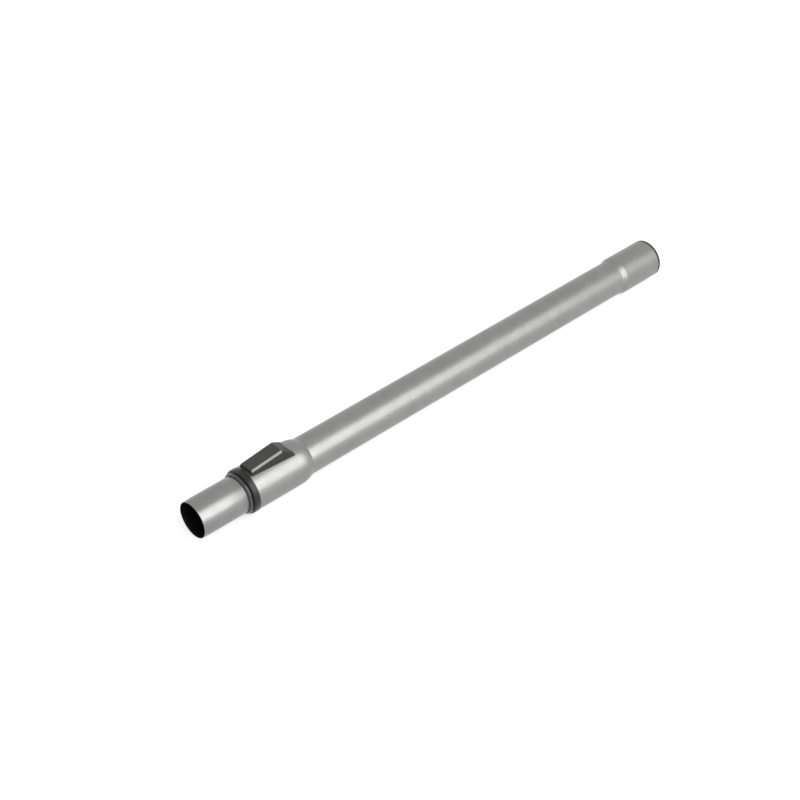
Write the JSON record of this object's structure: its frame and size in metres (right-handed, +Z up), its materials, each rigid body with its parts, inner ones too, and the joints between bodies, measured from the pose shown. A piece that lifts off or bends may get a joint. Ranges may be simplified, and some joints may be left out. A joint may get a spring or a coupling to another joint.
{
  "type": "telescopic vacuum wand",
  "caption": "Telescopic steel suction tube for a vacuum cleaner: slide button lock, black collar, male end and flared socket end.",
  "frame": {"origin": "centre of the socket's mouth, on the tube's axis", "axes": "+X along the tube's axis and out of the socket, +Z up through the slide button"},
  "size_m": [0.5839, 0.042, 0.049],
  "materials": {
    "outer_steel": "satin, fine lengthwise grain",
    "inner_steel": "satin, fine lengthwise grain",
    "collar_plastic": "matt moulded",
    "seal_rubber": "soft, dark",
    "sleeve_plastic": "plain moulded",
    "roller_steel": "ground",
    "carriage_plastic": "plain moulded",
    "button_plastic": "matt moulded",
    "spring_steel": "drawn wire",
    "bush_plastic": "plain moulded",
    "liner_plastic": "matt moulded"
  },
  "bodies": {
    "outer": {"outer_tube": "outer_steel", "guide_sleeve": "sleeve_plastic", "collar_ring": "collar_plastic", "wiper_seal": "seal_rubber", "socket_liner": "liner_plastic", "return_spring_left": "spring_steel", "return_spring_right": "spring_steel"},
    "inner": {"inner_tube": "inner_steel", "inner_end_bush": "bush_plastic", "inner_end_seal": "seal_rubber"},
    "button": {"slide_button": "button_plastic", "slide_carriage": "carriage_plastic"},
    "lock": {"lock_roller": "roller_steel"}
  },
  "joints": [
    {"name": "telescope", "type": "slide", "parent": "outer", "child": "inner", "axis": [-1, 0, 0], "range_m": [0, 0.375]},
    {"name": "button_slide", "type": "slide", "parent": "outer", "child": "button", "axis": [1, 0, 0], "range_m": [0, 0.005], "stiffness_N_per_m": 600, "springref_m": -0.003, "deforming": ["return_spring_left", "return_spring_right"]},
    {"name": "roller_lift", "type": "slide", "parent": "outer", "child": "lock", "axis": [0, 0, 1], "range_m": [0, 0.001]}
  ],
  "couplings": [
    {"joint": "roller_lift", "follows": "button_slide", "ratio": 0.2}
  ]
}
